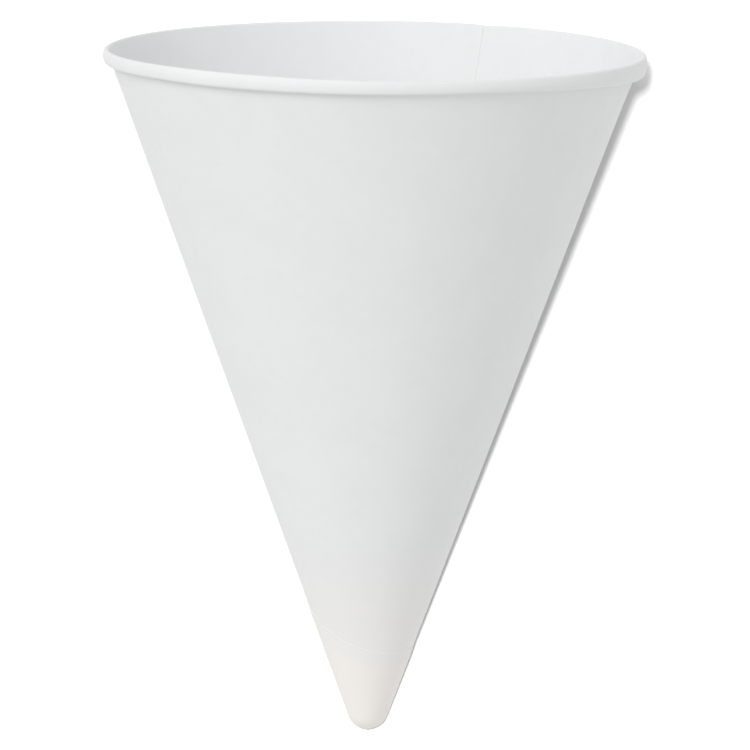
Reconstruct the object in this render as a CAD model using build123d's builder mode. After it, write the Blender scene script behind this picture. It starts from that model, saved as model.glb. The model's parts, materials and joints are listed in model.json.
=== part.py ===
"""Cone paper cup: one blank, wound into a cone, glued along its side seam and rolled outwards at the mouth.

Millimetres. The cup is made standing on its tip, with the cone's axis on Z and its apex at height 0, and is
then laid on its side, as it comes to rest. Azimuths go round the axis in degrees: 0 is the front (-Y), 90 the
right (+X) and -180 the back (+Y), which is where the seam is. The seam is flat, and the cup lies on it.

The sheet is a spiral: each half turn is round its own axis, half a thickness away from the other, so that
after a whole turn the sheet passes over its own beginning.
"""

from build123d import *
import os
from math import acos, asin, atan2, cos, degrees, pi, radians, sin, tan

# Sizes that can be set by themselves
paper = 0.25  # thickness of the sheet
mouth_across = 72.0  # across the rolled rim
half_angle = 20.3  # between the wall and the cup's axis, in degrees
tip_radius = 2.5  # outside of the rounded tip
fold_inside = 0.275  # roll: inside radius where the sheet turns over outwards
leg_length = 0.65  # roll: straight stretch down the outside
tuck_inside = 0.175  # roll: inside radius where the sheet turns in again
tuck_gap = 0.1  # roll: between the turned-in end and the wall
fold_corners = 8  # the roll's two bends are each drawn in small corners
tuck_corners = 6
seam_overlap = 11.0  # width of the glued seam at the rim
edge_miss = 16.3  # how far the blank's straight outer edge passes from the apex

# Directions in a half-plane through the axis, as (radius, height)
slope = radians(half_angle)
up_wall = Vector(sin(slope), cos(slope))
off_wall = Vector(cos(slope), -sin(slope))
step = paper / cos(slope)  # one thickness, measured level

# The roll, by the middle of the sheet: over, down the outside and in again, for half a turn at most
fold_radius = fold_inside + paper / 2
leg_offset = 2 * fold_radius
tuck_radius = tuck_inside + paper / 2
tuck_outside = tuck_radius + paper / 2
tuck_room = leg_offset - tuck_radius - paper / 2 - tuck_gap
tuck_turn = pi - acos(min(1, tuck_room / tuck_outside))

# The wall and the tip, by the middle of the sheet
wall_top_radius = mouth_across / 2 - paper / 2 - fold_radius - fold_radius * cos(slope)
wall_top = Vector(wall_top_radius, wall_top_radius / tan(slope))
wall_reach = wall_top.length
tip_middle = tip_radius - paper / 2
tip_height = tip_middle / sin(slope)

# The seam, by azimuth, with its middle at the back
seam_turn = degrees(seam_overlap / wall_top_radius)
seam_start = -180 - seam_turn / 2
seam_end = seam_start + seam_turn

# The blank's outer edge, by turns in degrees from its nearest point to the apex
nearest = seam_end + degrees(acos(edge_miss / wall_reach) / sin(slope))
past_rim = wall_reach + 2 * leg_offset + leg_length
edge_start = -degrees(acos(edge_miss / past_rim) / sin(slope))
edge_middle = seam_start + 180 - nearest
edge_end = edge_middle + 180
cut_lap = 6.0  # how far past its half turn each cut along the edge goes on
edge_points = 21  # on each spline of such a cut


def outward(azimuth):
    """The level direction away from the axis."""
    return Vector(sin(radians(azimuth)), -cos(radians(azimuth)), 0)


def half_plane(azimuth):
    """The plane through the axis whose X is the radius and whose Y is the height."""
    return Plane(origin=(0, 0, 0), x_dir=outward(azimuth), z_dir=outward(azimuth).cross(Vector(0, 0, 1)))


def polar(angle, radius):
    """A step in a half-plane, at an angle from the level in radians."""
    return Vector(cos(angle), sin(angle)) * radius


def bend(centre, radius, start, turn, corners):
    """The corners that carry a line clockwise round a centre, with the circle touched between them.

    start is the angle from the centre at which the bend begins, and turn its own angle, both in radians.
    """
    each = turn / corners
    return [centre + polar(start - each * (corner + 0.5), radius / cos(each / 2)) for corner in range(corners)]


def roll_centres(lift):
    """The middles of the roll's two bends: over, and in again."""
    fold_centre = wall_top + Vector(lift, 0) + off_wall * fold_radius
    return fold_centre, fold_centre + off_wall * (fold_radius - tuck_radius) - up_wall * leg_length


def lay_wall(lift, centre):
    """Draws a ply of the wall: the bottom of the tip, the tip and the wall up to the roll.

    lift moves it outwards by the plies under it, and centre is where the half turn's axis stands.
    """
    with BuildLine() as ply:
        if lift > centre:
            Line((centre, tip_height - tip_middle), (lift, tip_height - tip_middle))
        tip = CenterArc((lift, tip_height), tip_middle, -90, 90 - half_angle)
        Line(tip @ 1, wall_top + Vector(lift, 0))
    trace(ply.line, line_width=paper)


def lay_roll(lift, thickness):
    """Draws the roll as a sheet of this thickness, from a little way down the wall."""
    fold_centre, tuck_centre = roll_centres(lift)
    wall_below = wall_top + Vector(lift, 0) - up_wall * thickness
    fold = bend(fold_centre, fold_radius, pi - slope, pi, fold_corners)
    tuck = bend(tuck_centre, tuck_radius, -slope, tuck_turn, tuck_corners)
    turned_in = tuck_centre + polar(-slope - tuck_turn, tuck_radius)
    with BuildLine() as ply:
        Polyline(wall_below, *fold, *tuck, turned_in)
    trace(ply.line, line_width=thickness)


def rolled_section(azimuth, lift, centre):
    """The section of one ply with its roll."""
    with BuildSketch(half_plane(azimuth)) as section:
        lay_wall(lift, centre)
        lay_roll(lift, paper)
    return section.sketch


def plain_section(azimuth, lift, centre):
    """The section of a ply that ends under the roll."""
    with BuildSketch(half_plane(azimuth)) as section:
        lay_wall(lift, centre)
    return section.sketch


def seam_section(azimuth):
    """The section through the seam: two plies, rolled together."""
    with BuildSketch(half_plane(azimuth)) as section:
        lay_wall(0, 0)
        lay_wall(step, 0)
        lay_roll(step / 2, 2 * paper)
    return section.sketch


def edge_point(turn, proud):
    """A point over the blank's outer edge, which is straight on the flat sheet and a geodesic on the cone.

    Its reach from the apex is edge_miss / cos(turn on the flat sheet), and proud is how far it stands off the
    middle of the sheet.
    """
    reach = edge_miss / cos(radians(turn) * sin(slope))
    radius = reach * sin(slope) + proud * cos(slope)
    height = reach * cos(slope) - proud * sin(slope)
    return outward(nearest + turn) * radius + Vector(0, 0, height)


def edge_cut(start, end):
    """The face that cuts the sheet square along the blank's outer edge, from one turn to another."""
    turns = [start + (end - start) * i / (edge_points - 1) for i in range(edge_points)]
    inside = Edge.make_spline([edge_point(turn, -leg_offset) for turn in turns])
    outside = Edge.make_spline([edge_point(turn, 2 * leg_offset) for turn in turns])
    return Face.make_surface_from_curves(inside, outside)


# The half turns that start opposite the seam have this axis
round_axis = Axis(outward(seam_start) * step / 2, (0, 0, 1))
opposite = seam_start + 180

# The seam: both plies, straight across from its start to its end
with BuildPart() as seam:
    extrude(seam_section(seam_start), amount=2 * seam_overlap, dir=outward(seam_start + seam_turn / 2 + 90))
    split(bisect_by=half_plane(seam_end), keep=Keep.TOP)

# The first whole turn: once round from the end of the seam to its start
with BuildPart() as first_turn:
    revolve(rolled_section(seam_end, 0, 0), axis=Axis.Z, revolution_arc=180 - seam_turn)
    revolve(rolled_section(opposite, 0, -step / 2), axis=round_axis, revolution_arc=180)

# The third half turn, from the seam on: the left side of the tip wrap
with BuildPart() as left_wrap:
    revolve(plain_section(seam_end, step, 0), axis=Axis.Z, revolution_arc=180 - seam_turn)
    split(bisect_by=edge_cut(edge_start, edge_middle + cut_lap), keep=Keep.TOP)

# The fourth half turn: the right side of the tip wrap, which ends over the seam's start
with BuildPart() as right_wrap:
    revolve(plain_section(opposite, step, -step / 2), axis=round_axis, revolution_arc=180)
    split(bisect_by=edge_cut(edge_middle - cut_lap, edge_end + cut_lap), keep=Keep.TOP)

with BuildPart() as standing:
    add([seam.part, first_turn.part, left_wrap.part, right_wrap.part])

# Lying: seen along the seam, the floor touches the seam's roll at a corner and the end of the tip wrap
squeeze = cos(radians(seam_turn / 2))
roll_corner = bend(roll_centres(step / 2)[1], tuck_radius + paper, -slope, tuck_turn, tuck_corners)[0]
between = Vector((roll_corner.X - 2 * step) * squeeze, roll_corner.Y - tip_height)
rise = degrees(atan2(between.X, between.Y) - asin(tip_radius / between.length))
laid = Rot(X=rise - 90) * standing.part
lying_box = laid.bounding_box()
placing = Pos(-lying_box.center().X, -lying_box.center().Y, -lying_box.min.Z)
with BuildPart() as cup:
    add(placing * laid)

cup.part.label = "cup"
os.makedirs("parts", exist_ok=True)
export_step(cup.part, "parts/cup.step")

print("rise of the axis", round(rise, 3), "apex", placing.position, "nearest azimuth", round(nearest, 1))
print("solids", len(cup.part.solids()), "volume", round(cup.part.volume, 2), "valid", cup.part.is_valid)
print("box", cup.part.bounding_box())
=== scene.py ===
"""The looks of the cone paper cup, in metres: one wound sheet, a pale floor, soft light and a camera.

The sheet is one surface of two parameters. The first is the winding angle, from the blank's inner edge,
which starts the seam, to its other end on the tip. The second is the way along the sheet, from the tip to
the edge that is turned in under the roll. The cup is worked out standing on its tip, with its axis on Z and
the cone's apex at height 0, and is laid as the frame's part lies.
"""

import json
from math import acos, asin, cos, degrees, pi, radians, sin

import bpy
import numpy as np
from bpy.props import FloatProperty, FloatVectorProperty, IntProperty, PointerProperty
from mathutils import Matrix, Vector


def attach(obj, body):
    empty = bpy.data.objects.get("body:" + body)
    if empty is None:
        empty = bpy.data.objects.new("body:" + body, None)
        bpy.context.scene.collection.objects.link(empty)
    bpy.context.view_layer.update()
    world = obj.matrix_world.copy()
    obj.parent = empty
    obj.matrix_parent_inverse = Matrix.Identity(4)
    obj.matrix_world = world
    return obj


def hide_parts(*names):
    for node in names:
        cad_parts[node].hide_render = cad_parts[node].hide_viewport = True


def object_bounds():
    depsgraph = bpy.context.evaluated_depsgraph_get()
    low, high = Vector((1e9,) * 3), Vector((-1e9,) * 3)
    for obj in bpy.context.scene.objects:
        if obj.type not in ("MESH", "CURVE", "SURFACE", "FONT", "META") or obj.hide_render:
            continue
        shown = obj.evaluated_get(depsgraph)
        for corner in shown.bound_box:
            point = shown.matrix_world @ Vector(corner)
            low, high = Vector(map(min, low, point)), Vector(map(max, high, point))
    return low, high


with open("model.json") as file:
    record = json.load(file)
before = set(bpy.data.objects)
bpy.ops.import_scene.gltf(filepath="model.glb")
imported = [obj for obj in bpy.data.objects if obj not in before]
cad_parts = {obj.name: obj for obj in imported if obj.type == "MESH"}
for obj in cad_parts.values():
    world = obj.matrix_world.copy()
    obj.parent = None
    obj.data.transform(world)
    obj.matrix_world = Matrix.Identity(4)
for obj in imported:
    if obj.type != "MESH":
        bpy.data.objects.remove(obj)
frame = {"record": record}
CAD_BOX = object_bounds()

bl_info = {
    "name": "Cone Paper Cup",
    "version": (1, 0, 0),
    "blender": (4, 5, 0),
    "location": "3D View > Sidebar > Paper Cup",
    "description": "Winds a rolled-rim cone cup from one sheet of paper and sets it on a pale floor",
    "category": "Add Mesh",
}

mm = 0.001

# How the cup lies: the record's seat is at the mouth and looks along the cup's axis, which rises from level
SEAT = next(mount for mount in frame["record"]["mounts"] if mount["name"] == "holder_seat")
RISE = asin(SEAT["axis"][2])
STANDING_TO_LYING = Matrix.Rotation(RISE - pi / 2, 3, "X")

# The sheet
ROWS = (14, 40, 14, 8, 10)  # of faces along the tip, the wall, the fold, the leg and the tuck
NEST_RUN = 0.35  # share of the seam's turn over which one roll goes over or inside another
POLE_RUN = 30  # degrees before a whole turn over which a ply rises at the end of the tip
EDGE_TURN_LIMIT = radians(85)  # on the flat sheet, past which the straight edge is beyond the blank
BEYOND_BLANK = 10.0  # metres from the apex
WAVES = ((2, 0.5, 0.6), (3, 0.3, 2.1), (5, 0.2, 4.0))  # round the cup: how many, how high, and their phase
ROLL_WAVES_AHEAD = 40  # degrees; the waves of the roll are also twice as many
WAVES_GROWTH = 2  # power of the height with which the waves grow
LOW_OUT_GROWTH = 30  # power of the height with which the rim's low place comes out
TINT_AT_EDGE = 0.25  # share of the wrap's own colour that it has right at its edge
SHARP_ANGLE = radians(50)  # between faces, from which the edge between them is shaded sharp

# The finish of the paper
NOISE_ROUGHNESS = 0.55
SHADE_WEIGHTS = {"clouds": 0.6, "flocs": 0.4}
SHADE_SPAN = (0.35, 0.65)  # of their sum, from the darkest paper to the lightest
RELIEF_WEIGHTS = {"fibres": 0.5, "cross_fibres": 0.3, "flocs": 0.9}
ROUGHNESS_SPAN = 0.12  # how much smoother the paper is on its flocs than between them
CUT_START = 0.5  # of the nearness to a cut edge, where the edge's warm tone and painted highlight start
MIX_FACTOR, MIX_FIRST, MIX_SECOND, MIX_RESULT = 0, 6, 7, 2  # the colour sockets of a Mix node

# The stage
SENSOR = 36.0  # millimetres across the camera's sensor
FLOOR_SIDE = 8.0
WHITE = (1, 1, 1, 1)


def length(name, description, default):
    """A size in metres, given here in millimetres."""
    return FloatProperty(
        name=name,
        description=description,
        default=default * mm,
        unit="LENGTH",
        subtype="DISTANCE",
        precision=5,
    )


def angle(name, description, default):
    """An angle, given here in degrees."""
    return FloatProperty(name=name, description=description, default=radians(default), subtype="ANGLE")


def colour(name, description, default):
    """A linear colour."""
    return FloatVectorProperty(
        name=name, description=description, default=default, size=3, min=0, max=1, subtype="COLOR"
    )


def share(name, description, default):
    """A plain number from nothing to one."""
    return FloatProperty(name=name, description=description, default=default, min=0, max=1, subtype="FACTOR")


def amount(name, description, default):
    """A plain number of nothing or more."""
    return FloatProperty(name=name, description=description, default=default, min=0)


class CupSizes(bpy.types.PropertyGroup):
    """The sizes of the blank and of the way it is wound."""

    paper: length("Paper", "Thickness of the sheet", 0.25)
    mouth_across: length("Mouth", "Across the rolled rim", 71.75)
    half_angle: angle("Half angle", "Between the wall and the cup's axis", 20.3)
    tip_inside: length("Tip inside", "Inside radius of the rounded tip", 2.3)
    roll_width: length("Roll width", "From the wall to the roll's outside, by the middle of the sheet", 0.85)
    leg: length("Leg", "Rounded stretch down the outside of the roll", 1.2)
    leg_turn: angle("Leg turn", "How far that stretch turns", 40)
    tuck_inside: length("Tuck inside", "Inside radius where the sheet turns in again", 0.175)
    tuck_gap: length("Tuck gap", "Between the turned-in end and the wall", 0.1)
    seam_overlap: length("Seam", "Width of the glued seam at the rim", 11)
    edge_miss: length("Edge miss", "How far the blank's straight edge passes from the apex", 16.3)
    pressed_edge: share("Pressed edge", "Share of the thickness that is pressed away at a glued edge", 0.6)
    pressed_run: length("Pressed run", "How far from a glued edge the sheet is pressed thinner", 1.6)
    pressed_wrap: share("Pressed wrap", "Share of the thickness that is pressed away on the wrap", 0.5)
    wrap_run: angle("Wrap run", "Winding angle over which the wrap thins", 50)
    wrap_fade: length("Wrap fade", "How far from the wrap's edge its own colour is full", 3)
    # The pale line is partly the cut edge's own warm tone and partly a painted highlight along it, where the
    # edge would catch the light.
    cut_glow: length("Cut edge", "Width of the pale line along a cut edge", 0.3)
    pinhole: length("Pinhole", "Radius that the winding leaves at the end of the tip", 0.02)
    out_of_round: length("Out of round", "How far the rim strays from a circle", 0.12)
    uneven_leg: length("Uneven roll", "How much the height of the roll changes round the rim", 0.09)
    high_turn: angle("High place", "Winding angle at which the rim stands highest", 162)
    high_rim: length("High rim", "How much higher the rim is there", 0.45)
    high_leg: length("High roll", "How much taller the roll is there", 0.18)
    low_turn: angle("Low place", "Winding angle at which the roll hangs lowest", 293)
    low_rim: length("Low rim", "How much lower the rim is there", 0.2)
    low_leg: length("Low roll", "How much taller the roll is there", 0.9)
    low_out: length("Low rim out", "How much further out the rim is there", 0.35)
    place_run: angle("Run of those places", "Winding angle over which each dies away", 62)
    columns: IntProperty(name="Columns", description="Steps of the winding angle", default=540, min=60)


class PaperLook(bpy.types.PropertyGroup):
    """The finish of the paper."""

    white: colour("White", "Colour of the paper", (0.875, 0.88, 0.885))
    # This colour is also painted as light on the wall beside the tip and as a highlight along the cut edges.
    warm: colour("Warm white", "Colour of the tip and of the cut edges", (0.97, 0.935, 0.88))
    mottle: share("Mottle", "How much the formation of the paper shows as cloudy patches", 0.02)
    cloud_size: length("Cloud size", "Across the cloudy patches", 7)
    floc_size: length("Floc size", "Across the small flocs of fibre in them", 1.3)
    fibre_width: length("Fibre width", "Across the fibres", 0.16)
    fibre_stretch: amount("Fibre stretch", "How many times as long as wide the fibres are", 7)
    cross_fibre_width: length("Cross fibre width", "Across the fibres that lie square to those", 0.2)
    cross_fibre_stretch: amount("Cross fibre stretch", "How many times as long as wide they are", 5)
    warm_tip: share("Warm tip", "How warm the very tip is", 0.9)
    warm_reach: length("Warm reach", "How far from the end of the tip the warmth goes", 14)
    # Painted light: the wall beside the tip is painted lighter and warmer, more so nearer the tip, in place
    # of light that grows towards it.
    painted_light_beside_tip: share("Warm beside", "How warm the wall beside the tip is", 0.55)
    painted_light_reach: length("Warm beside reach", "How far from the end of the tip that goes", 34)
    warm_wrap: share("Warm wrap", "How warm the wrapped ply of the tip is", 0.75)
    # The cut edges' warm tone, with a painted highlight along them.
    edge_tone_and_highlight: share("Warm edge", "How warm the cut edges are", 0.5)
    roughness: share("Roughness", "Roughness of the uncoated paper", 0.72)
    sheen: share("Sheen", "Light caught by the loose fibres", 0.08)
    sheen_roughness: share("Sheen roughness", "How far that light spreads", 0.5)
    ior: amount("IOR", "Refractive index of the paper's surface", 1.45)
    specular: share("Specular", "How much that surface mirrors, where a half is its index's own share", 0.35)
    fibre_bump: length("Fibre relief", "Depth of the fibres", 0.02)
    relief_strength: share("Relief strength", "How much of that depth shows", 0.35)


class StudioSetup(bpy.types.PropertyGroup):
    """The camera and the lights."""

    camera_distance: length("Camera distance", "From the aim point", 1400)
    camera_turn: angle("Camera turn", "Round the cup's axis, from the side that is up", 16.0)
    camera_tilt: angle("Camera tilt", "Above square to the cup's axis, towards the mouth", 8.3)
    camera_roll: angle("Camera roll", "Lean of the cup in the picture", 0.56)
    aim_height: length("Aim height", "Aim point on the axis, above the apex", 50.2)
    aside: length("Camera aside", "Camera's place to the right of the aim point", 0.66)
    above: length("Camera above", "Camera's place above the aim point, towards the mouth", 1.78)
    lens: FloatProperty(name="Lens", description="Focal length in millimetres", default=505.5)
    world_light: amount("World light", "Strength of the light from all round", 0.70)
    key_light: amount("Key light", "Radiance that the soft lamp gives plain white", 0.33)
    key_turn: angle("Key turn", "To the left of the camera's direction", 32)
    key_rise: angle("Key rise", "Towards the mouth's side", 25)
    key_size: length("Key size", "Across the soft lamp", 900)
    key_distance: length("Key distance", "From the soft lamp to the cup", 1800)
    floor_light: amount("Floor light", "Radiance that the floor's own lamp gives plain white", 0.95)
    floor_lamp_size: length("Floor lamp size", "Across the floor's lamp", 75)
    floor_lamp_distance: length("Floor lamp distance", "From that lamp to the mouth", 1400)
    floor_lamp_turn: angle("Floor lamp turn", "To the left of the camera's direction", 1.8)
    floor_lamp_rise: angle("Floor lamp rise", "Towards the mouth's side", 1)
    floor_colour: colour("Floor", "Colour of the floor", (0.78, 0.78, 0.78))
    floor_return: colour("Floor's return", "Colour that it has for the light on the cup", (0.42, 0.42, 0.42))
    floor_near: length("Floor near", "From the cup to where the floor starts to fade to white", 120)
    floor_far: length("Floor far", "From the cup to where the floor is white", 350)


def smooth(x):
    """3x^2 - 2x^3 between 0 and 1: a step with soft ends."""
    x = np.clip(x, 0, 1)
    return x * x * (3 - 2 * x)


class Winding:
    """The wound sheet's shape, as formulas of the winding angle in degrees and the way along the sheet."""

    def __init__(self, sizes):
        """Works out the radii of the sheet's middle in its bends, and the turns at which the sheet ends.

        The fold and the leg together reach roll_width out from the wall, and the leg's outermost point is at
        mouth_across.
        """
        self.sizes = sizes
        self.slope = sizes.half_angle
        self.climb = pi / 2 - self.slope
        self.step = sizes.paper / cos(self.slope)
        self.leg = sizes.leg / sizes.leg_turn
        self.fold = (sizes.roll_width - self.leg * (1 - cos(sizes.leg_turn))) / (1 + cos(sizes.leg_turn))
        self.tuck = sizes.tuck_inside + sizes.paper / 2
        tuck_outside = self.tuck + sizes.paper / 2
        tuck_room = sizes.roll_width - tuck_outside - sizes.tuck_gap
        self.tuck_turn = pi - acos(min(1, tuck_room / tuck_outside))
        leg_middle = (sizes.roll_width - self.leg) * cos(self.slope)
        leg_middle -= (self.leg - self.fold) * sin(sizes.leg_turn) * sin(self.slope)
        self.top_radius = sizes.mouth_across / 2 - sizes.paper / 2 - self.leg - leg_middle
        self.top_reach = self.top_radius / sin(self.slope)
        self.tip = sizes.tip_inside + sizes.paper / 2
        self.tip_height = self.tip / sin(self.slope)
        self.seam_turn = degrees(sizes.seam_overlap / self.top_radius)
        self.rim_cut = 360 + self.seam_turn
        self.nearest = self.rim_cut + degrees(acos(sizes.edge_miss / self.top_reach) / sin(self.slope))

    def azimuth(self, turn):
        """Degrees round the axis from the front, with the middle of the seam at the back."""
        return turn - 180 - self.seam_turn / 2

    def lift(self, turn):
        """How far out a ply lies, level, on the ply of the first turn under it.

        A half turn keeps its radius, and the next one grows by one thickness along half a cosine wave.
        """
        whole, part = np.divmod(turn, 360)
        return self.step * (whole + np.where(part > 180, (1 + np.cos(np.radians(part))) / 2, 0))

    def nesting(self, turn):
        """1 where a ply is rolled over another one, -1 where it is rolled inside one, and 0 elsewhere."""
        run = NEST_RUN * self.seam_turn
        over = 1 - smooth((turn - self.seam_turn) / run)
        under = smooth((turn - 360 + run) / run)
        return over - under

    def press(self, turn):
        """The share of its radius that the sheet keeps where the seam is pressed flat.

        1 less a bell (1 - x^2)^2, which is as deep as a chord across the seam.
        """
        off_middle = (turn - self.seam_turn / 2 + 180) % 360 - 180
        x = off_middle / (self.seam_turn / 2 * 2**0.5)
        return 1 - (1 - cos(radians(self.seam_turn / 2))) * np.clip(1 - x * x, 0, 1) ** 2

    def waver(self, turn):
        """A few slow waves round the cup, between about -1 and 1."""
        around = np.radians(self.azimuth(turn))
        return sum(high * np.sin(count * around + phase) for count, high, phase in WAVES)

    def near(self, turn, place):
        """1 at a place of the rim and 0 beyond its run, with a soft step between."""
        return smooth(1 - np.abs(turn - degrees(place)) / degrees(self.sizes.place_run))

    def tip_run(self, turn):
        """How long a ply runs round the tip: its radius there times how far it turns."""
        return (self.tip + self.lift(turn) * cos(self.slope)) * self.climb

    def pieces(self, turn):
        """How far the tip, wall, fold, leg and tuck of a column each turn clockwise, and how long they run.

        A bend runs for its radius times its turn. The rim's high and low places change the wall's run, and
        they and the waves of the roll change the leg's.
        """
        sizes = self.sizes
        nest = self.nesting(turn) * sizes.paper / 2
        high = self.near(turn, sizes.high_turn)
        low = self.near(turn, sizes.low_turn)
        wall = self.top_reach - self.tip_height * cos(self.slope) + self.lift(turn) * sin(self.slope)
        rise = sizes.high_rim * high - sizes.low_rim * low
        fold_turn = pi - sizes.leg_turn
        waves = sizes.uneven_leg * self.waver(2 * turn + ROLL_WAVES_AHEAD)
        uneven = sizes.high_leg * high + sizes.low_leg * low + waves
        return (
            (-self.climb, self.tip_run(turn)),
            (0, wall + rise),
            (fold_turn, (self.fold + nest) * fold_turn),
            (sizes.leg_turn, (self.leg + nest) * sizes.leg_turn + uneven),
            (self.tuck_turn, (self.tuck + nest) * self.tuck_turn),
        )

    def breaks(self, turn):
        """The way along the sheet at the ends of those pieces."""
        return np.cumsum([np.zeros_like(turn)] + [run for bend, run in self.pieces(turn)], axis=0)

    def reach_at_start(self, turn):
        """What the way along the sheet has to grow by to be the reach from the apex on the flat sheet."""
        return self.tip_height * cos(self.slope) - self.lift(turn) * sin(self.slope) - self.tip_run(turn)

    def past_nearest(self, turn):
        """Radians on the flat sheet past the straight edge's nearest point to the apex."""
        return np.radians(turn - self.nearest) * sin(self.slope)

    def cut(self, turn):
        """The way along the sheet at which the blank's straight edge cuts it.

        The edge's reach from the apex is edge_miss / cos(turn on the flat sheet), from its nearest point.
        """
        flat_turn = self.past_nearest(turn)
        cuts = np.abs(flat_turn) < EDGE_TURN_LIMIT
        reach = np.where(cuts, self.sizes.edge_miss / np.cos(np.where(cuts, flat_turn, 0)), BEYOND_BLANK)
        return reach - self.reach_at_start(turn)

    def off_straight_edge(self, turn, way):
        """Distance on the flat sheet from the straight edge.

        It is edge_miss less the reach times cos(turn on the flat sheet), from that edge's nearest point.
        """
        reach = way + self.reach_at_start(turn)
        return self.sizes.edge_miss - reach * np.cos(self.past_nearest(turn))

    def off_first_edge(self, turn, way):
        """Distance on the flat sheet from the edge that the winding starts with.

        It is the reach times sin(turn on the flat sheet), and the reach alone past a quarter turn.
        """
        flat_turn = np.minimum(np.radians(turn) * sin(self.slope), pi / 2)
        return (way + self.reach_at_start(turn)) * np.sin(flat_turn)

    def kept_near(self, off_edge):
        """The share of its thickness that the sheet keeps at this distance from a glued edge."""
        return 1 - self.sizes.pressed_edge * (1 - smooth(off_edge / self.sizes.pressed_run))

    def wrap(self, turn):
        """1 on the second turn, which wraps the tip, and 0 on the first."""
        return smooth((turn - self.rim_cut) / degrees(self.sizes.wrap_run))

    def pole_drop(self, turn, way):
        """How far a ply's middle moves up so that its half turns meet at one height at the end of the tip.

        There a ply lies a whole number of thicknesses out, but for a short rise at its end.
        """
        whole, part = np.divmod(turn, 360)
        at_pole = self.step * (whole + smooth((part - 360 + POLE_RUN) / POLE_RUN))
        return (self.lift(turn) - at_pole) * cos(self.slope) * (1 - smooth(way / self.tip_run(turn)))

    def stray(self, turn, height):
        """How far out of round the wall is: waves that grow with the height, and the rim's low place."""
        climbed = np.maximum(height, 0) / height.max()
        waves = self.sizes.out_of_round * self.waver(turn) * climbed**WAVES_GROWTH
        return waves + self.sizes.low_out * self.near(turn, self.sizes.low_turn) * climbed**LOW_OUT_GROWTH

    def section(self, turn, way):
        """Radius, height and heading of the sheet's middle at a winding angle and a way along it.

        Heading is the angle of travel from the level, and starts level on the axis. Each piece is an arc or
        a straight line, and its chord up to a point is the way along it times sin(x) / x, where x is half of
        what it has turned, in the direction half-way through that turn.
        """
        start = np.zeros_like(way)
        heading = np.zeros_like(way)
        radius = np.zeros_like(way)
        height = self.tip_height - self.tip - self.lift(turn) * cos(self.slope)
        for bend, run in self.pieces(turn):
            along = np.clip(way - start, 0, run)
            half = bend * along / run / 2
            chord = along * np.sinc(half / pi)
            radius = radius + chord * np.cos(heading - half)
            height = height + chord * np.sin(heading - half)
            heading = heading - 2 * half
            start = start + run
        return radius, height, heading


def sheet_grid(winding):
    """The winding angle and the way along the sheet of each point, and the way at which each column ends.

    Columns go along the winding angle and rows along the sheet. A column that the blank's straight edge cuts
    short keeps its rows, closer together.
    """
    turn = np.linspace(0, 720, winding.sizes.columns + 1)
    ends = winding.breaks(turn)
    marks = np.cumsum((0,) + ROWS)
    rows = np.arange(marks[-1] + 1)
    piece = np.clip(np.searchsorted(marks, rows, side="right") - 1, 0, len(ROWS) - 1)
    part = (rows - marks[piece]) / np.array(ROWS)[piece]
    way = ends[piece] + (ends[piece + 1] - ends[piece]) * part[:, None]
    full = ends[-1]
    kept = np.minimum(full, winding.cut(turn))
    first = winding.sizes.pinhole
    way = first + (way * (kept / full)) * (1 - first / kept)
    return np.broadcast_to(turn, way.shape), way, kept


def sheet_sides(winding, turn, way):
    """The outside and the inside of the sheet, as grids of standing points.

    Each is half a thickness off the sheet's middle, square to its heading. The outside is pressed in along
    the straight edge and on the wrap, and the inside along the edge that the winding starts with.
    """
    sizes = winding.sizes
    radius, height, heading = winding.section(turn, way)
    azimuth = np.radians(winding.azimuth(turn))
    kept_outside = winding.kept_near(winding.off_straight_edge(turn, way))
    kept_outside = kept_outside * (1 - sizes.pressed_wrap * winding.wrap(turn))
    kept_inside = winding.kept_near(winding.off_first_edge(turn, way))
    sides = []
    for offset in (kept_outside - 0.5, 0.5 - kept_inside):
        r = radius + offset * sizes.paper * np.sin(heading)
        r = np.maximum(r * winding.press(turn) + winding.stray(turn, height), sizes.pinhole)
        z = height - offset * sizes.paper * np.cos(heading) + winding.pole_drop(turn, way)
        sides.append(np.stack([r * np.sin(azimuth), -r * np.cos(azimuth), z], axis=-1))
    return sides


def sheet_marks(winding, turn, way, kept):
    """What the finish reads: flat coordinates, the share of the wrap's colour, and nearness to a cut edge.

    The wrap's colour grows over wrap_fade from its edge. A cut edge is one of the blank's straight edges or
    the edge that is turned in.
    """
    sizes = winding.sizes
    flat_turn = np.radians(turn) * sin(winding.slope)
    flat = np.stack([way * np.cos(flat_turn), way * np.sin(flat_turn)], axis=-1)
    off_straight = winding.off_straight_edge(turn, way)
    off_edge = np.minimum(np.minimum(winding.off_first_edge(turn, way), off_straight), kept - way)
    tint = TINT_AT_EDGE + (1 - TINT_AT_EDGE) * smooth(off_straight / sizes.wrap_fade)
    return flat, winding.wrap(turn) * tint, np.clip(1 - off_edge / sizes.cut_glow, 0, 1)


def shell_faces(rows, columns):
    """The quads of two grids of points, one for each side of a sheet, and the strip round their border."""
    index = np.arange(rows * columns).reshape(rows, columns)
    a, b, c, d = index[:-1, :-1], index[:-1, 1:], index[1:, 1:], index[1:, :-1]
    outside = np.stack([a, b, c, d], axis=-1).reshape(-1, 4)
    inside = outside[:, ::-1] + rows * columns
    border = np.concatenate([index[0, :-1], index[:-1, -1], index[-1, :0:-1], index[:0:-1, 0]])
    ahead = np.roll(border, -1)
    strip = np.stack([ahead, border, border + rows * columns, ahead + rows * columns], axis=-1)
    return np.concatenate([outside, inside, strip])


def lay_down(points):
    """Lays standing points on their seam, centred on the frame's floor, and gives that shift too."""
    turned = points @ np.array(STANDING_TO_LYING).T
    low, high = turned.min(axis=0), turned.max(axis=0)
    cad_low, cad_high = np.array(CAD_BOX[0]), np.array(CAD_BOX[1])
    shift = (cad_low + cad_high - low - high) / 2
    shift[2] = cad_low[2] - low[2]
    return turned + shift, shift


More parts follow.
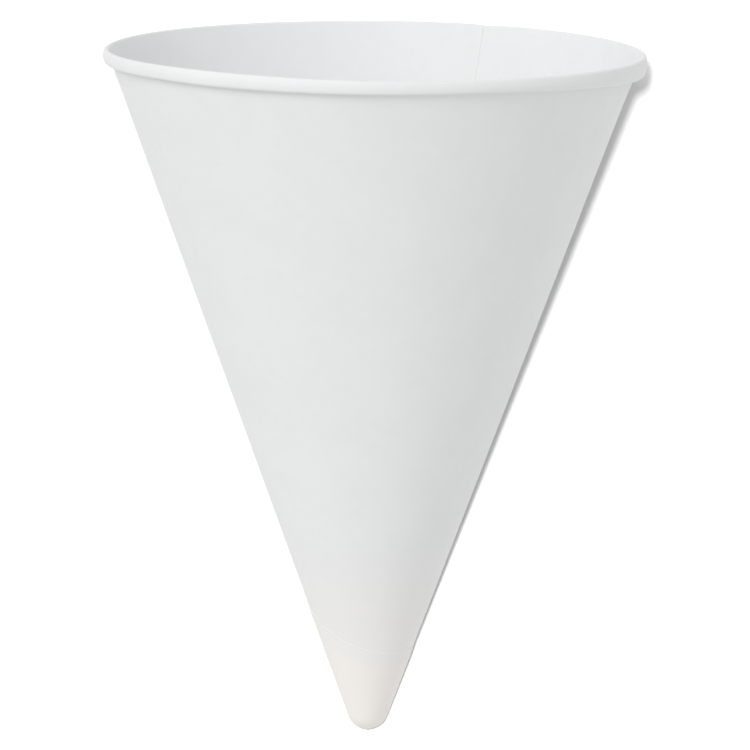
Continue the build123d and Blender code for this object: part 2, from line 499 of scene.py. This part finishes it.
def sheet_mesh(points, quads, flat, marks):
    """The mesh of both sides of the sheet, whose flat coordinates and marks are the same for the two."""
    mesh = bpy.data.meshes.new("paper_cup")
    mesh.from_pydata(points, [], quads)
    mesh.update()
    both_flat = np.concatenate([flat.reshape(-1, 2)] * 2)
    layer = mesh.uv_layers.new(name="flat_sheet")
    layer.data.foreach_set("uv", both_flat[quads.ravel()].astype(np.float32).ravel())
    for name, values in marks.items():
        attribute = mesh.attributes.new(name, "FLOAT", "POINT")
        attribute.data.foreach_set("value", np.concatenate([values.ravel()] * 2).astype(np.float32))
    mesh.shade_smooth()
    mesh.set_sharp_from_angle(angle=SHARP_ANGLE)
    return mesh


class CUP_OT_wind(bpy.types.Operator):
    """Winds the cup from one sheet of paper and lays it in the frame"""

    bl_idname = "paper_cup.wind"
    bl_label = "Wind the cup"

    def execute(self, context):
        scene = context.scene
        winding = Winding(scene.cup_sizes)
        turn, way, kept = sheet_grid(winding)
        rows, columns = turn.shape
        standing = np.concatenate([side.reshape(-1, 3) for side in sheet_sides(winding, turn, way)])
        points, shift = lay_down(standing)
        scene["cup_apex"] = [float(value) for value in shift]
        flat, wrap, edge = sheet_marks(winding, turn, way, kept)
        mesh = sheet_mesh(points, shell_faces(rows, columns), flat, {"edge": edge, "wrap": wrap})
        tip_end = points[columns - 1]
        mesh.materials.append(paper_material(scene.paper_look, tip_end))
        cup = bpy.data.objects.new("paper_cup", mesh)
        scene.collection.objects.link(cup)
        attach(cup, "root")
        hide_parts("cup")
        return {"FINISHED"}


def add_node(tree, kind, links=(), **settings):
    """A shader node with its settings, and with a link or a value for each input named in links."""
    node = tree.nodes.new(kind)
    for name, value in settings.items():
        setattr(node, name, value)
    for name, source in dict(links).items():
        if isinstance(source, bpy.types.NodeSocket):
            tree.links.new(source, node.inputs[name])
        else:
            node.inputs[name].default_value = source
    return node


def noise(tree, vector, size, detail, stretch=(1, 1, 1)):
    """Noise whose patches are about this many metres across, and longer where stretch is over 1."""
    scale = [1 / (size * part) for part in stretch]
    placed = add_node(tree, "ShaderNodeMapping", {"Vector": vector, "Scale": scale})
    links = {"Vector": placed.outputs[0], "Scale": 1, "Detail": detail, "Roughness": NOISE_ROUGHNESS}
    return add_node(tree, "ShaderNodeTexNoise", links).outputs["Fac"]


def arithmetic(tree, operation, first, second, third=0.0):
    """One step of arithmetic on sockets or numbers."""
    node = add_node(tree, "ShaderNodeMath", {0: first, 1: second, 2: third}, operation=operation)
    return node.outputs[0]


def weighted_sum(tree, sources, weights):
    """The sum of the sources that weights names, each times its weight."""
    total = 0.0
    for name, weight in weights.items():
        total = arithmetic(tree, "MULTIPLY_ADD", sources[name], weight, total)
    return total


def ramp(tree, value, start, end):
    """0 below start and 1 above end, with soft ends; start may be the larger."""
    links = {"Value": value, "From Min": start, "From Max": end}
    return add_node(tree, "ShaderNodeMapRange", links, interpolation_type="SMOOTHSTEP").outputs["Result"]


def mix_colours(tree, factor, first, second):
    """The first colour where the factor is 0, and the second where it is 1."""
    links = {MIX_FACTOR: factor, MIX_FIRST: first, MIX_SECOND: second}
    return add_node(tree, "ShaderNodeMix", links, data_type="RGBA").outputs[MIX_RESULT]


def paper_patterns(tree, look, place):
    """The noises of the paper by name: cloudy patches in its thickness, flocs in them, and fibres both ways.

    All but the clouds lie on the flat sheet.
    """
    sheet = add_node(tree, "ShaderNodeUVMap", uv_map="flat_sheet").outputs["UV"]
    return {
        "clouds": noise(tree, place, look.cloud_size, 2),
        "flocs": noise(tree, sheet, look.floc_size, 3),
        "fibres": noise(tree, sheet, look.fibre_width, 2, (look.fibre_stretch, 1, 1)),
        "cross_fibres": noise(tree, sheet, look.cross_fibre_width, 1, (1, look.cross_fibre_stretch, 1)),
    }


def paper_and_painted_light_colour(tree, look, place, patterns, tip_end):
    """White with a slight mottle, and a warmer, lighter white by the most that any of the warm places gives:
    the tip and its wrap in their own warm tone, the cut edges in theirs with a painted highlight along them,
    and the wall beside the tip as painted light.
    """
    shade = weighted_sum(tree, patterns, SHADE_WEIGHTS)
    darker = [channel * (1 - look.mottle) for channel in look.white]
    paper = mix_colours(tree, ramp(tree, shade, *SHADE_SPAN), (*darker, 1), (*look.white, 1))
    from_tip = add_node(tree, "ShaderNodeVectorMath", {0: place, 1: tip_end}, operation="DISTANCE")
    away = from_tip.outputs["Value"]
    edge = add_node(tree, "ShaderNodeAttribute", attribute_name="edge").outputs["Fac"]
    wrap = add_node(tree, "ShaderNodeAttribute", attribute_name="wrap").outputs["Fac"]
    # The warm places, with painted light beside the tip and a painted highlight along the cut edges.
    warm_and_painted_light_places = (
        (ramp(tree, away, look.warm_reach, 0), look.warm_tip),
        # Painted light: the wall beside the tip is painted lighter and warmer.
        (ramp(tree, away, look.painted_light_reach, 0), look.painted_light_beside_tip),
        (wrap, look.warm_wrap),
        # The cut edges' warm tone, with a painted highlight along them.
        (ramp(tree, edge, CUT_START, 1), look.edge_tone_and_highlight),
    )
    warmth_and_painted_light = 0.0
    for nearness, most in warm_and_painted_light_places:
        warmth_and_painted_light = arithmetic(tree, "MAXIMUM", warmth_and_painted_light, arithmetic(tree, "MULTIPLY", nearness, most))
    return mix_colours(tree, warmth_and_painted_light, paper, (*look.warm, 1))


def paper_material(look, tip_end):
    """Uncoated white paper, with fibres in relief, which is a little smoother on its flocs."""
    material = bpy.data.materials.new("cup_paper")
    material.use_nodes = True
    tree = material.node_tree
    shader = tree.nodes["Principled BSDF"]
    place = add_node(tree, "ShaderNodeTexCoord").outputs["Object"]
    patterns = paper_patterns(tree, look, place)
    relief = weighted_sum(tree, patterns, RELIEF_WEIGHTS)
    links = {"Height": relief, "Strength": look.relief_strength, "Distance": look.fibre_bump}
    bump = add_node(tree, "ShaderNodeBump", links).outputs["Normal"]
    roughest = look.roughness + ROUGHNESS_SPAN / 2
    rough = arithmetic(tree, "MULTIPLY_ADD", patterns["flocs"], -ROUGHNESS_SPAN, roughest)
    tree.links.new(paper_and_painted_light_colour(tree, look, place, patterns, tip_end), shader.inputs["Base Color"])
    tree.links.new(bump, shader.inputs["Normal"])
    tree.links.new(rough, shader.inputs["Roughness"])
    shader.inputs["Sheen Weight"].default_value = look.sheen
    shader.inputs["Sheen Roughness"].default_value = look.sheen_roughness
    shader.inputs["IOR"].default_value = look.ior
    shader.inputs["Specular IOR Level"].default_value = look.specular
    return material


def standing_frame(scene):
    """The lying cup's apex, the direction of its axis, and the level and the upper direction across it."""
    axis, right, front = (STANDING_TO_LYING @ Vector(way) for way in ((0, 0, 1), (1, 0, 0), (0, -1, 0)))
    return Vector(scene["cup_apex"]), axis, right, front


def add_camera(scene, setup):
    """A camera square to the cup but for its tilt; gives its aim and the ways to its right, up and back."""
    apex, axis, right, front = standing_frame(scene)
    out = front * cos(setup.camera_turn) + right * sin(setup.camera_turn)
    back = out * cos(setup.camera_tilt) + axis * sin(setup.camera_tilt)
    above = axis * cos(setup.camera_tilt) - out * sin(setup.camera_tilt)
    aside = above.cross(back)
    turn = Matrix((aside, above, back)).transposed() @ Matrix.Rotation(setup.camera_roll, 3, "Z")
    aside, above, back = turn.transposed()
    aim = apex + axis * setup.aim_height
    data = bpy.data.cameras.new("camera")
    data.sensor_width = SENSOR
    data.lens = setup.lens
    camera = bpy.data.objects.new("camera", data)
    scene.collection.objects.link(camera)
    place = aim + back * setup.camera_distance + aside * setup.aside + above * setup.above
    camera.matrix_world = Matrix.Translation(place) @ turn.to_4x4()
    scene.camera = camera
    return aim, aside, above, back


def upper_left(directions, turn, rise):
    """The camera's direction, turned to the left and then raised towards the mouth's side."""
    aside, above, back = directions
    return (back * cos(turn) - aside * sin(turn)) * cos(rise) + above * sin(rise)


def add_lamp(scene, name, place, aim, size, strength):
    """A round lamp that gives a plain white surface this radiance, at the aim point and square to the lamp.

    Its power is pi^2 times its radiance and its radius squared. At this distance it gives white paper its
    radiance times radius^2 / (distance^2 + radius^2), so the radius squared falls out.
    """
    data = bpy.data.lights.new(name, "AREA")
    data.shape = "DISK"
    data.size = size
    distance = (place - aim).length
    radius = size / 2
    data.energy = strength * pi**2 * (distance**2 + radius**2)
    lamp = bpy.data.objects.new(name, data)
    facing = (place - aim).to_track_quat("Z", "Y").to_matrix().to_4x4()
    lamp.matrix_world = Matrix.Translation(place) @ facing
    lamp.visible_camera = False
    scene.collection.objects.link(lamp)
    return lamp


def camera_only(tree):
    """1 for what the camera sees straight, mirrored or through glass, and 0 for what only lights."""
    path = add_node(tree, "ShaderNodeLightPath")
    seen = arithmetic(tree, "MAXIMUM", path.outputs["Is Camera Ray"], path.outputs["Is Glossy Ray"])
    return arithmetic(tree, "MAXIMUM", seen, path.outputs["Is Transmission Ray"])


def white_world(scene, setup):
    """Even light from all round, which the camera sees as white."""
    world = bpy.data.worlds.new("studio")
    world.use_nodes = True
    tree = world.node_tree
    seen = camera_only(tree)
    strength = arithmetic(tree, "MULTIPLY_ADD", seen, 1 - setup.world_light, setup.world_light)
    background = tree.nodes["Background"]
    background.inputs["Color"].default_value = WHITE
    tree.links.new(strength, background.inputs["Strength"])
    scene.world = world


def floor_material(setup):
    """Plain pale matt floor, which sends back less light to the cup than the camera sees.

    Away from the cup it fades to plain white, for the camera alone.
    """
    material = bpy.data.materials.new("pale_floor")
    material.use_nodes = True
    tree = material.node_tree
    shader = tree.nodes["Principled BSDF"]
    seen = camera_only(tree)
    pale = mix_colours(tree, seen, (*setup.floor_return, 1), (*setup.floor_colour, 1))
    tree.links.new(pale, shader.inputs["Base Color"])
    shader.inputs["Roughness"].default_value = 1
    shader.inputs["Specular IOR Level"].default_value = 0
    place = add_node(tree, "ShaderNodeTexCoord").outputs["Object"]
    away = add_node(tree, "ShaderNodeVectorMath", {0: place}, operation="LENGTH").outputs["Value"]
    far = arithmetic(tree, "MULTIPLY", ramp(tree, away, setup.floor_near, setup.floor_far), seen)
    white = add_node(tree, "ShaderNodeEmission", {"Color": WHITE, "Strength": 1})
    faded = add_node(tree, "ShaderNodeMixShader", {0: far, 1: shader.outputs[0], 2: white.outputs[0]})
    tree.links.new(faded.outputs[0], tree.nodes["Material Output"].inputs["Surface"])
    return material


def add_floor(scene, setup):
    """A wide plane under the cup."""
    mesh = bpy.data.meshes.new("floor")
    corners = [(x, y, 0) for x, y in ((-1, -1), (1, -1), (1, 1), (-1, 1))]
    mesh.from_pydata(np.array(corners) * FLOOR_SIDE / 2, [], [(0, 1, 2, 3)])
    mesh.materials.append(floor_material(setup))
    floor = bpy.data.objects.new("floor", mesh)
    scene.collection.objects.link(floor)
    return floor


class CUP_OT_stage(bpy.types.Operator):
    """Sets the pale floor, the soft light and the camera"""

    bl_idname = "paper_cup.stage"
    bl_label = "Set the stage"

    def execute(self, context):
        scene = context.scene
        setup = scene.studio_setup
        scene.view_settings.view_transform = "Standard"
        aim, *directions = add_camera(scene, setup)
        towards = upper_left(directions, setup.key_turn, setup.key_rise)
        place = aim + towards * setup.key_distance
        add_lamp(scene, "key_lamp", place, aim, setup.key_size, setup.key_light)
        white_world(scene, setup)
        floor = add_floor(scene, setup)
        mouth = Vector(SEAT["pos_m"])
        towards = upper_left(directions, setup.floor_lamp_turn, setup.floor_lamp_rise)
        place = mouth + towards * setup.floor_lamp_distance
        lamp = add_lamp(scene, "floor_lamp", place, mouth, setup.floor_lamp_size, setup.floor_light)
        floor_alone = bpy.data.collections.new("lit_by_floor_lamp")
        floor_alone.objects.link(floor)
        lamp.light_linking.receiver_collection = floor_alone
        return {"FINISHED"}


class CUP_PT_panel(bpy.types.Panel):
    """The cup's sizes and finish, the studio, and what makes them"""

    bl_idname = "CUP_PT_panel"
    bl_label = "Cone Paper Cup"
    bl_space_type = "VIEW_3D"
    bl_region_type = "UI"
    bl_category = "Paper Cup"

    def draw(self, context):
        scene = context.scene
        for group in (scene.cup_sizes, scene.paper_look, scene.studio_setup):
            column = self.layout.column(align=True)
            for name in group.__annotations__:
                column.prop(group, name)
        for operator in OPERATORS:
            self.layout.operator(operator.bl_idname)


OPERATORS = (CUP_OT_wind, CUP_OT_stage)
CLASSES = (CupSizes, PaperLook, StudioSetup, *OPERATORS, CUP_PT_panel)


def register():
    """Adds the classes, and the three groups of settings to every scene."""
    for cls in CLASSES:
        bpy.utils.register_class(cls)
    bpy.types.Scene.cup_sizes = PointerProperty(type=CupSizes)
    bpy.types.Scene.paper_look = PointerProperty(type=PaperLook)
    bpy.types.Scene.studio_setup = PointerProperty(type=StudioSetup)


def unregister():
    """Takes away what register added."""
    del bpy.types.Scene.studio_setup
    del bpy.types.Scene.paper_look
    del bpy.types.Scene.cup_sizes
    for cls in reversed(CLASSES):
        bpy.utils.unregister_class(cls)


def main():
    """Makes the cup and its stage."""
    register()
    bpy.ops.paper_cup.wind()
    bpy.ops.paper_cup.stage()


if __name__ == "__main__":
    main()
